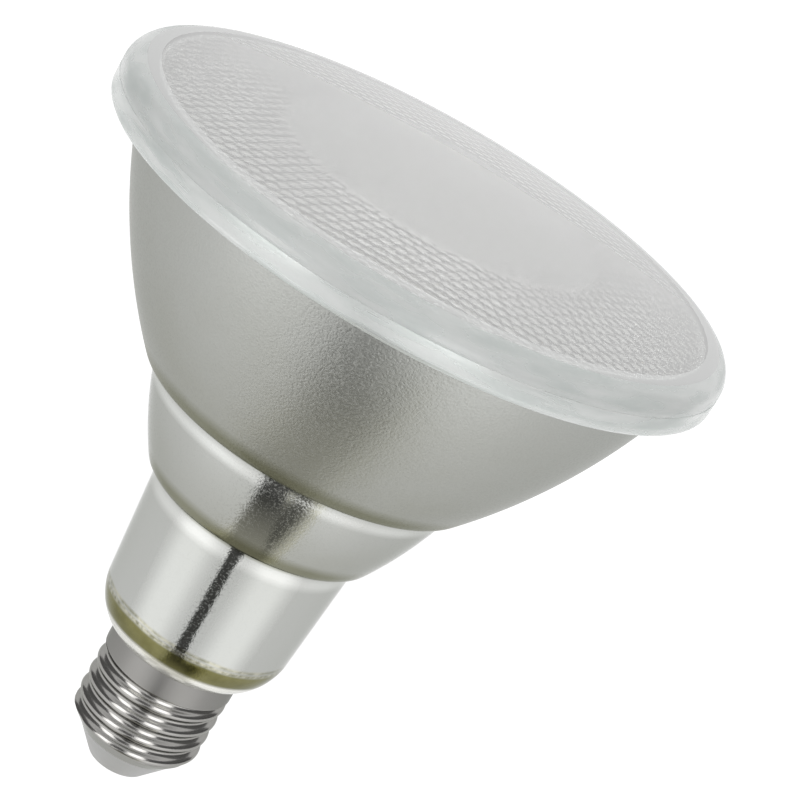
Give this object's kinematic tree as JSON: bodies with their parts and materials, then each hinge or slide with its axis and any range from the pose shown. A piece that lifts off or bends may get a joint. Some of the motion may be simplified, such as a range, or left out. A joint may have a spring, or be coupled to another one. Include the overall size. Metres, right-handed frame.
{
  "type": "par spotlight bulb",
  "caption": "Reflector spotlight bulb with a pressed glass stepped body, front lens of patterned glass and a screw cap for a lampholder.",
  "frame": {"origin": "centre of the contact face at the tip of the screw cap", "axes": "+Z along the lamp's axis, from the cap to the lens; X and Y are free round it"},
  "size_m": [0.121, 0.121, 0.1331],
  "materials": {
    "lens_glass": "clear pressed glass, polished outside, a ring of small six-sided bumps inside",
    "adhesive": "cured translucent adhesive",
    "mirrored_glass": "pressed glass with an aluminised inside, satin silver from outside",
    "drawn_aluminium": "plain drawn",
    "white_board": "white solder mask",
    "phosphor": "yellow phosphor under clear resin",
    "screw_steel": "zinc plated",
    "potting": "cured potting compound",
    "wire_red": "insulated wire",
    "wire_black": "insulated wire",
    "cement": "cured basing cement",
    "nickel_plate": "bright nickel plate on rolled brass",
    "insulator_plastic": "pale grey moulded",
    "contact_metal": "nickel plated, lightly worn"
  },
  "bodies": {
    "root": {"front_lens": "lens_glass", "lens_seal": "adhesive", "reflector": "mirrored_glass", "heat_sink": "drawn_aluminium", "led_board": "white_board", "led_emitters": "phosphor", "board_screws": "screw_steel", "driver_module": "potting", "live_lead": "wire_red", "neutral_lead": "wire_black", "cap_cement": "cement", "screw_shell": "nickel_plate", "cap_insulator": "insulator_plastic", "centre_contact": "contact_metal"}
  },
  "joints": []
}
